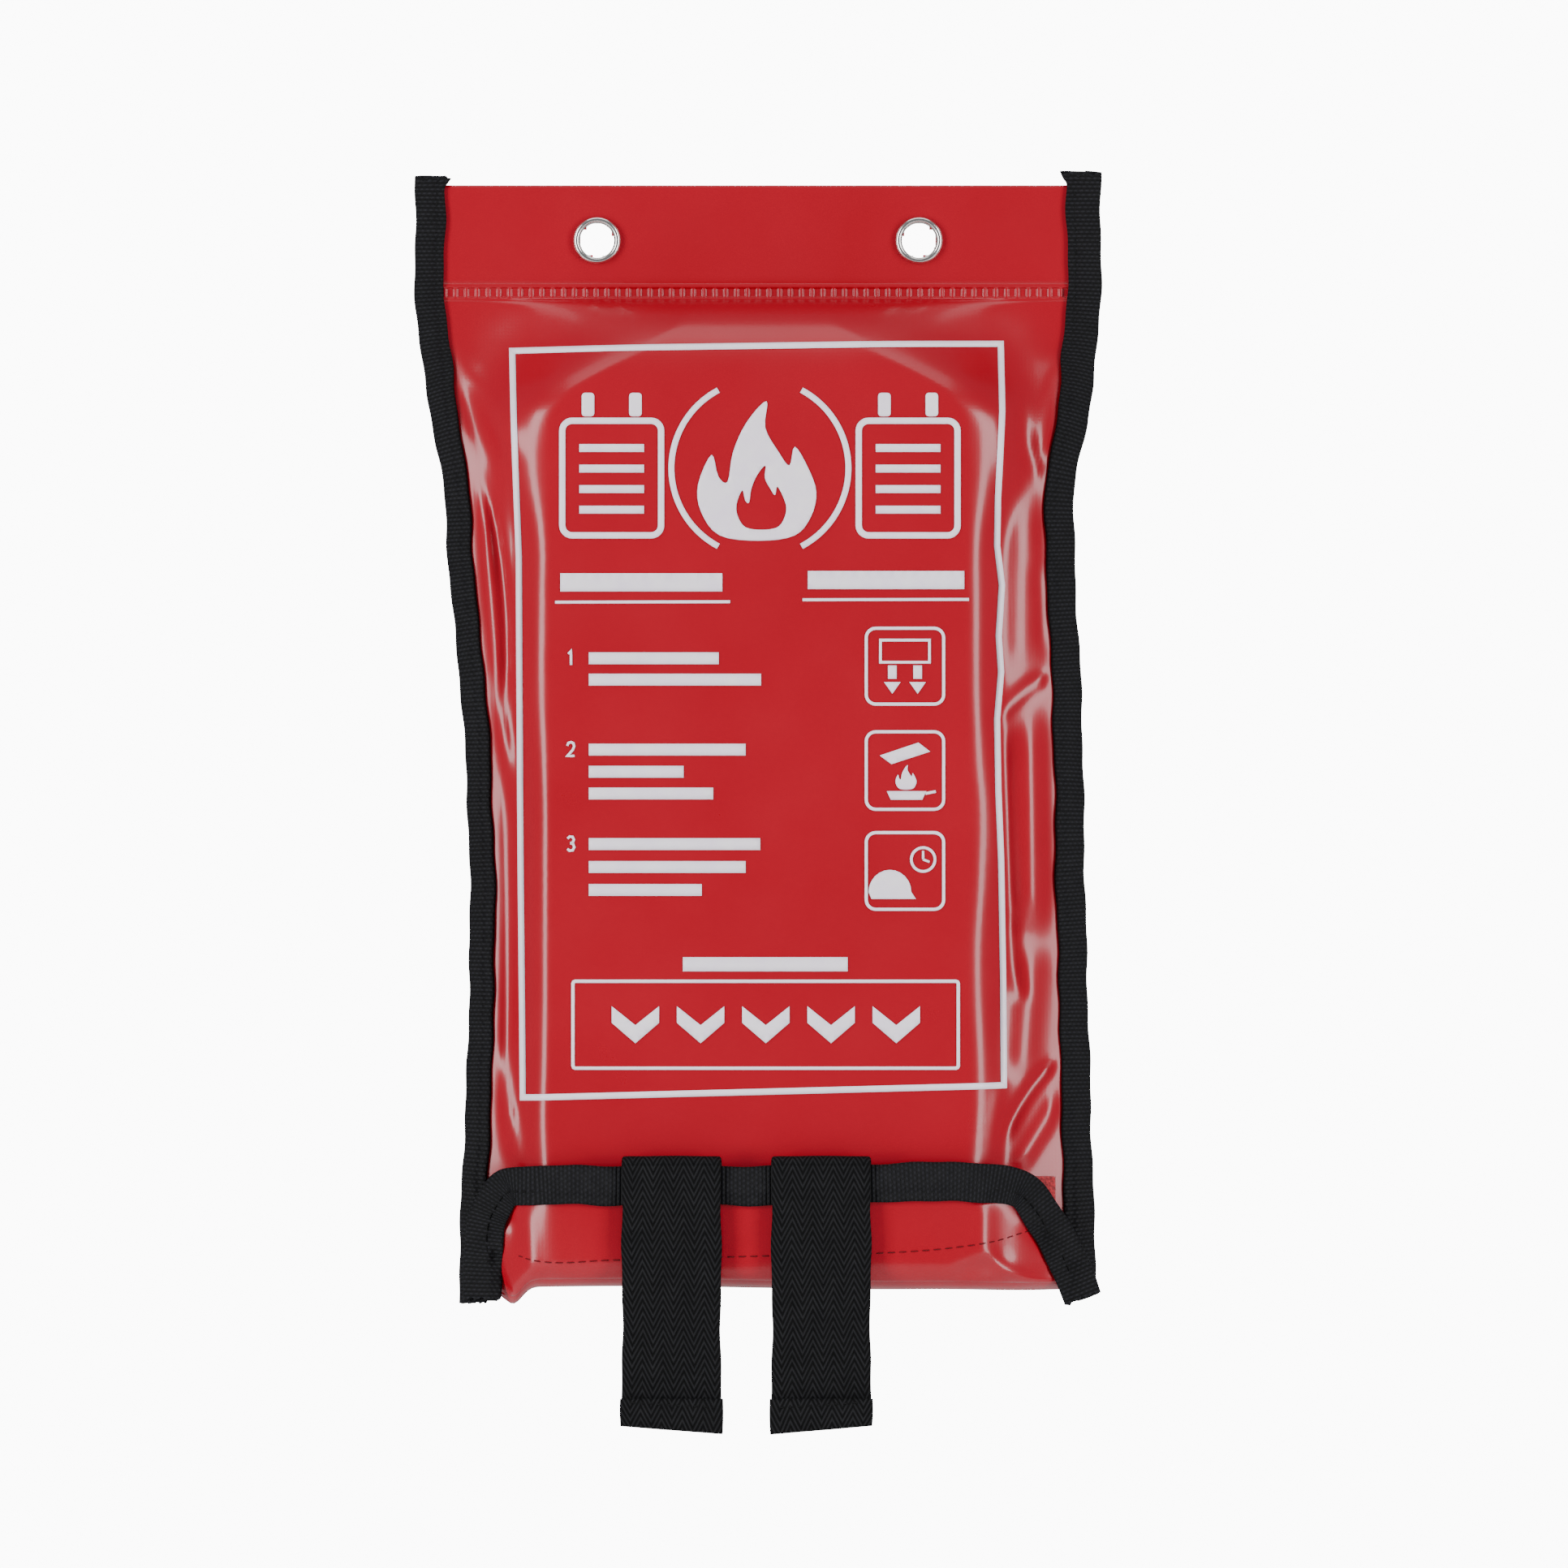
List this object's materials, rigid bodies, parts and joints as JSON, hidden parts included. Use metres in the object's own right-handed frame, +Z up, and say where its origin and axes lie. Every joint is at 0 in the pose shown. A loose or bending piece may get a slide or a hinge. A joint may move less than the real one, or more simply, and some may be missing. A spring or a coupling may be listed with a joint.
{
  "type": "soft-case fire blanket",
  "caption": "Wall-hung red pouch with black bound edges, eyelets and a hook-and-loop bottom flap, holding a folded glass-cloth fire blanket with hanging pull tabs.",
  "frame": {"origin": "middle of the flat back that lies on the wall", "axes": "+Z up towards the eyelets, -Y out of the front panel, +Y into the wall, +X to the right seen from the front"},
  "size_m": [0.175, 0.0408, 0.319],
  "materials": {
    "red_pvc": "glossy soft PVC sheet",
    "black_binding": "ribbed woven tape",
    "tab_webbing": "herringbone woven tape",
    "black_thread": "twisted polyester thread",
    "red_thread": "twisted polyester thread",
    "loop_pile": "looped pile",
    "hook_pile": "moulded hook pile",
    "nickel_plate": "polished nickel plate",
    "glass_cloth": "plain-woven glass fibre cloth"
  },
  "bodies": {
    "pouch": {"back_panel": "red_pvc", "front_panel": "red_pvc", "bottom_gusset": "red_pvc", "left_side_binding": "black_binding", "left_side_stitching": "black_thread", "right_side_binding": "black_binding", "right_side_stitching": "black_thread", "loop_tape": "loop_pile", "left_eyelet": "nickel_plate", "left_eyelet_washer": "nickel_plate", "right_eyelet": "nickel_plate", "right_eyelet_washer": "nickel_plate"},
    "flap": {"bottom_flap": "red_pvc", "flap_binding": "black_binding", "flap_binding_stitching": "black_thread", "hook_tape": "hook_pile", "hook_tape_stitching": "red_thread"},
    "blanket": {"folded_blanket": "glass_cloth", "left_tab_anchor": "tab_webbing", "left_anchor_stitching": "black_thread", "right_tab_anchor": "tab_webbing", "right_anchor_stitching": "black_thread"},
    "left_leg": {"left_tab_leg": "tab_webbing"},
    "left_turn": {"left_tab_turn": "tab_webbing"},
    "left_tab": {"left_pull_tab": "tab_webbing", "left_tab_stitching": "black_thread"},
    "right_leg": {"right_tab_leg": "tab_webbing"},
    "right_turn": {"right_tab_turn": "tab_webbing"},
    "right_tab": {"right_pull_tab": "tab_webbing", "right_tab_stitching": "black_thread"}
  },
  "joints": [
    {"name": "flap_open", "type": "hinge", "parent": "pouch", "child": "flap", "pos_m": [0, -0.03457, -0.11311], "axis": [1, 0, 0], "range_deg": [0, 165]},
    {"name": "blanket_slide", "type": "slide", "parent": "pouch", "child": "blanket", "axis": [0, 0, -1], "range_m": [0, 0.29], "deforming": ["bottom_gusset"]},
    {"name": "left_leg_turn", "type": "hinge", "parent": "blanket", "child": "left_leg", "pos_m": [-0.0218, -0.03457, -0.11311], "axis": [1, 0, 0], "range_deg": [0, 165]},
    {"name": "left_turn_hang", "type": "hinge", "parent": "left_leg", "child": "left_turn", "pos_m": [-0.0218, -0.03648, -0.0816], "axis": [1, 0, 0], "range_deg": [-165, 0], "deforming": ["left_tab_turn"]},
    {"name": "left_tab_lift", "type": "hinge", "parent": "left_turn", "child": "left_tab", "pos_m": [-0.0218, -0.03648, -0.0816], "axis": [-1, 0, 0], "range_deg": [0, 110]},
    {"name": "right_leg_turn", "type": "hinge", "parent": "blanket", "child": "right_leg", "pos_m": [0.016, -0.03457, -0.11311], "axis": [1, 0, 0], "range_deg": [0, 165]},
    {"name": "right_turn_hang", "type": "hinge", "parent": "right_leg", "child": "right_turn", "pos_m": [0.016, -0.03648, -0.0816], "axis": [1, 0, 0], "range_deg": [-165, 0], "deforming": ["right_tab_turn"]},
    {"name": "right_tab_lift", "type": "hinge", "parent": "right_turn", "child": "right_tab", "pos_m": [0.016, -0.03648, -0.0816], "axis": [-1, 0, 0], "range_deg": [0, 110]}
  ],
  "couplings": [
    {"joint": "left_leg_turn", "follows": "flap_open", "ratio": 1},
    {"joint": "right_leg_turn", "follows": "flap_open", "ratio": 1},
    {"joint": "left_turn_hang", "follows": "flap_open", "ratio": -1},
    {"joint": "right_turn_hang", "follows": "flap_open", "ratio": -1}
  ]
}
